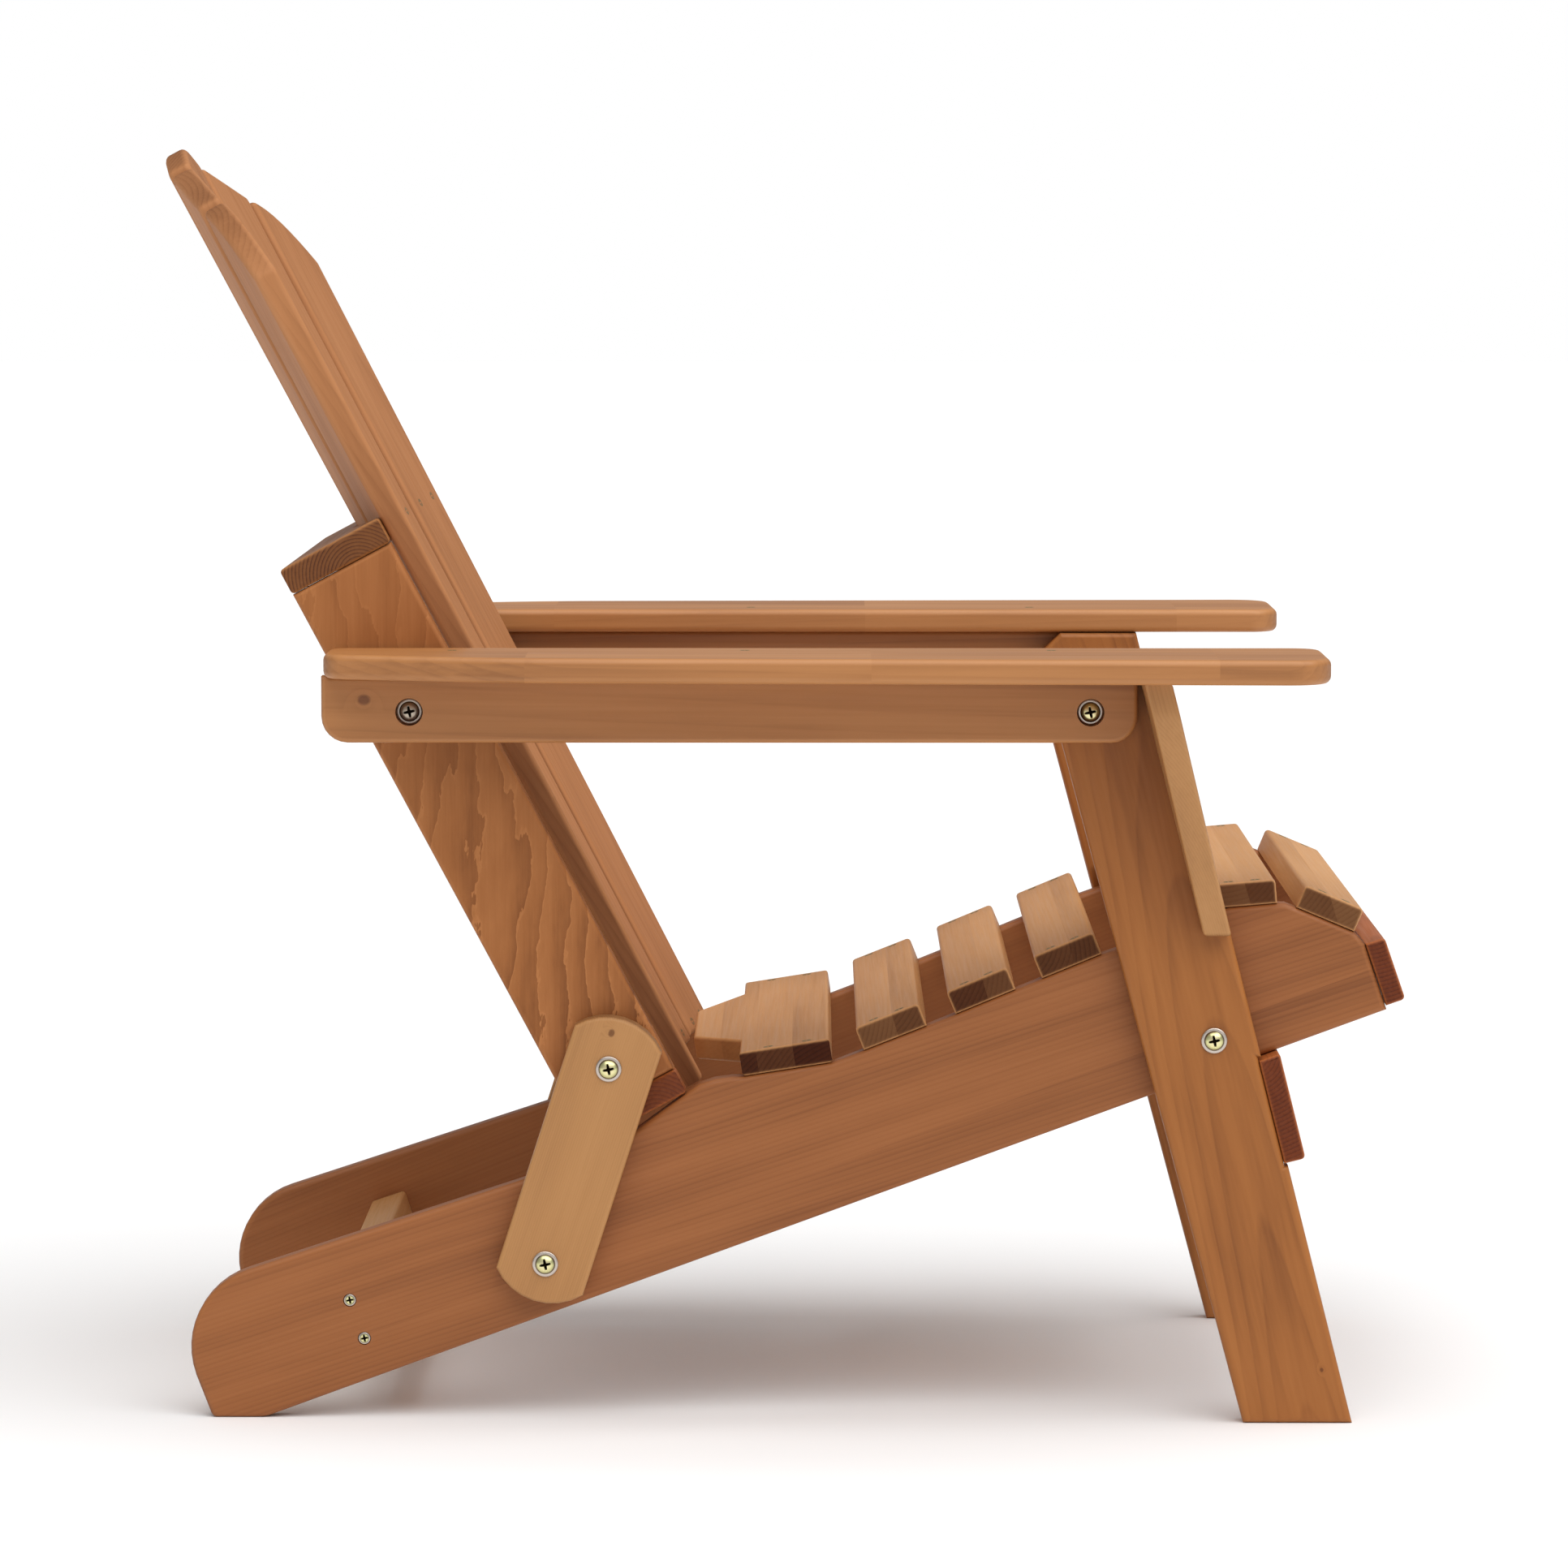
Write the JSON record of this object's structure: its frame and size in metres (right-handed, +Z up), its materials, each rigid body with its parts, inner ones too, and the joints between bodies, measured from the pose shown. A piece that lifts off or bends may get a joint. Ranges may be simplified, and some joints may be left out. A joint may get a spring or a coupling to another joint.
{
  "type": "folding adirondack chair",
  "caption": "Wooden folding garden chair with a slatted seat, fan-shaped concave back, flat arms, and pivoting front legs, links and arms joined by bolts.",
  "frame": {"origin": "centre of the bounding box at floor level", "axes": "+Z up, the seat faces -Y, X runs across the chair"},
  "size_m": [0.7298, 0.916, 0.924],
  "materials": {
    "fir": "oiled, satin",
    "fir_pale": "oiled, satin",
    "fir_dark": "oiled, satin",
    "zinc": "yellow zinc plated"
  },
  "bodies": {
    "arm_left": {"arm_board_left": "fir_pale", "arm_rail_left": "fir", "arm_spacer_left": "fir", "bolt_arm_front_left": "zinc", "bolt_arm_rear_left": "zinc", "nut_arm_front_left": "zinc"},
    "arm_right": {"arm_board_right": "fir_pale", "arm_rail_right": "fir", "arm_spacer_right": "fir", "bolt_arm_front_right": "zinc", "bolt_arm_rear_right": "zinc", "nut_arm_front_right": "zinc"},
    "front_legs": {"arm_bracket_left": "fir", "arm_bracket_right": "fir", "bolt_leg_left": "zinc", "bolt_leg_right": "zinc", "leg_brace": "fir_dark", "leg_left": "fir", "leg_right": "fir", "nut_leg_left": "zinc", "nut_leg_right": "zinc"},
    "back": {"back_plank_1": "fir", "back_plank_2": "fir", "back_plank_3": "fir", "back_plank_4": "fir", "back_plank_5": "fir", "back_rail_lower": "fir", "back_rail_upper": "fir", "back_stile_left": "fir", "back_stile_right": "fir", "nut_arm_rear_left": "zinc", "nut_arm_rear_right": "zinc"},
    "link_left": {"bolt_link_high_left": "zinc", "bolt_link_low_left": "zinc", "link_left": "fir_pale", "nut_link_high_left": "zinc", "nut_link_low_left": "zinc"},
    "link_right": {"bolt_link_high_right": "zinc", "bolt_link_low_right": "zinc", "link_right": "fir_pale", "nut_link_high_right": "zinc", "nut_link_low_right": "zinc"},
    "seat_frame": {"brace_screw_left_bottom": "zinc", "brace_screw_left_top": "zinc", "brace_screw_right_bottom": "zinc", "brace_screw_right_top": "zinc", "rear_brace": "fir_dark", "seat_apron": "fir", "seat_slat_1": "fir_pale", "seat_slat_2": "fir_pale", "seat_slat_3": "fir_pale", "seat_slat_4": "fir_pale", "seat_slat_5": "fir_pale", "seat_slat_6": "fir_pale", "seat_slat_7": "fir_pale", "stringer_left": "fir", "stringer_right": "fir"}
  },
  "joints": [
    {"name": "legs_fold", "type": "hinge", "parent": "seat_frame", "child": "front_legs", "pos_m": [0, -0.31897, 0.2798], "axis": [1, 0, 0], "range_deg": [0, 85.18]},
    {"name": "link_left_turn", "type": "hinge", "parent": "seat_frame", "child": "link_left", "pos_m": [0.236, 0.16493, 0.1166], "axis": [1, 0, 0], "range_deg": [-31.3, 0]},
    {"name": "back_turn", "type": "hinge", "parent": "link_left", "child": "back", "pos_m": [0, 0.11873, 0.2589], "axis": [1, 0, 0], "range_deg": [0, 121.3]},
    {"name": "arm_left_turn", "type": "hinge", "parent": "front_legs", "child": "arm_left", "pos_m": [0.257, -0.22807, 0.5189], "axis": [1, 0, 0], "range_deg": [-83.7, 0]},
    {"name": "link_right_turn", "type": "hinge", "parent": "seat_frame", "child": "link_right", "pos_m": [-0.236, 0.16493, 0.1166], "axis": [1, 0, 0], "range_deg": [-31.3, 0]},
    {"name": "arm_right_turn", "type": "hinge", "parent": "front_legs", "child": "arm_right", "pos_m": [-0.257, -0.22807, 0.5189], "axis": [1, 0, 0], "range_deg": [-83.7, 0]}
  ],
  "couplings": [
    {"joint": "link_left_turn", "follows": "legs_fold", "ratio": -0.36681},
    {"joint": "link_right_turn", "follows": "legs_fold", "ratio": -0.36681},
    {"joint": "back_turn", "follows": "legs_fold", "ratio": 1.4231},
    {"joint": "arm_left_turn", "follows": "legs_fold", "ratio": -0.98134},
    {"joint": "arm_right_turn", "follows": "legs_fold", "ratio": -0.98134}
  ]
}
